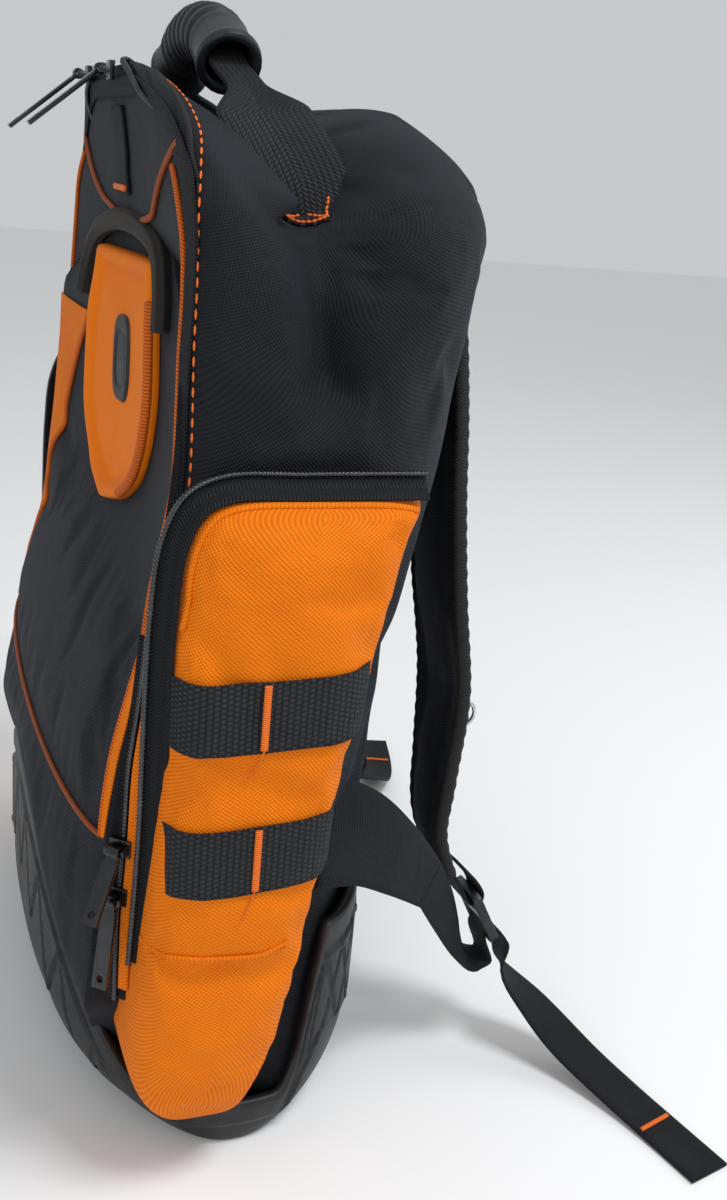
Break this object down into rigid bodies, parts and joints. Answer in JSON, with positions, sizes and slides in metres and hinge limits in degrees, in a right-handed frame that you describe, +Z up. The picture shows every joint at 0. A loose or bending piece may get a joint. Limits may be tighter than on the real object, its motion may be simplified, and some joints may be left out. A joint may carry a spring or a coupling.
{
  "type": "tool backpack",
  "caption": "Soft tool backpack on a moulded rubber base, with zipped pockets, webbing loops, a rubber carry grip and padded shoulder straps.",
  "frame": {"origin": "middle of the flat sole of the rubber base, on the floor", "axes": "+Z up, -Y towards the front pocket, +Y towards the shoulder straps, +X towards the wearer's right"},
  "size_m": [0.4924, 0.3177, 0.513],
  "materials": {
    "black_cloth": "coarse woven polyester, matt",
    "orange_cloth": "coarse woven polyester, matt",
    "webbing": "ribbed webbing, matt",
    "zip_tape": "herringbone tape with a nylon coil",
    "rubber": "satin moulded rubber",
    "plastic": "smooth",
    "steel": "black lacquer, worn bright at the edges"
  },
  "bodies": {
    "bag": {"rubber_base": "rubber", "main_body": "black_cloth", "front_panel": "black_cloth", "main_zip": "zip_tape", "front_pocket": "black_cloth", "pocket_crescent_right": "orange_cloth", "pocket_crescent_left": "orange_cloth", "tongue_panel": "orange_cloth", "tongue_badge": "rubber", "pocket_binding": "webbing", "front_strip": "webbing", "handle_grip": "rubber", "handle_strap": "webbing", "side_pocket_right": "orange_cloth", "side_pocket_left": "orange_cloth", "side_zip_right": "zip_tape", "side_zip_left": "zip_tape", "upper_tool_loop_right": "webbing", "upper_tool_loop_left": "webbing", "lower_tool_loop_right": "webbing", "lower_tool_loop_left": "webbing", "shoulder_strap_right": "black_cloth", "shoulder_strap_left": "black_cloth", "strap_buckle_right": "plastic", "strap_buckle_left": "plastic", "strap_webbing_right": "webbing", "strap_webbing_left": "webbing", "strap_keeper_right": "webbing", "strap_keeper_left": "webbing", "strap_wing_right": "black_cloth", "strap_wing_left": "black_cloth", "pocket_zip_right": "zip_tape", "pocket_zip_left": "zip_tape", "gusset_strip_right": "orange_cloth", "gusset_strip_left": "orange_cloth", "top_slider_near": "steel", "top_slider_far": "steel", "side_slider_upper": "steel", "side_slider_lower": "steel"},
    "top_pull_near": {"top_pull_near": "plastic"},
    "top_pull_far": {"top_pull_far": "plastic"},
    "side_pull_upper": {"side_pull_upper": "plastic"},
    "side_pull_lower": {"side_pull_lower": "plastic"}
  },
  "joints": [
    {"name": "top_pull_near_swing", "type": "hinge", "parent": "bag", "child": "top_pull_near", "pos_m": [0.02, -0.05899, 0.47822], "axis": [-1, 0, 0], "range_deg": [-45, 90]},
    {"name": "top_pull_far_swing", "type": "hinge", "parent": "bag", "child": "top_pull_far", "pos_m": [-0.05, -0.0589, 0.47822], "axis": [-1, 0, 0], "range_deg": [-45, 90]},
    {"name": "side_pull_upper_swing", "type": "hinge", "parent": "bag", "child": "side_pull_upper", "pos_m": [0.17161, -0.06828, 0.169], "axis": [-0.6606, -0.7507, 0], "range_deg": [-4, 80]},
    {"name": "side_pull_lower_swing", "type": "hinge", "parent": "bag", "child": "side_pull_lower", "pos_m": [0.17161, -0.06924, 0.146], "axis": [-0.6606, -0.7507, 0], "range_deg": [-4, 60]}
  ]
}
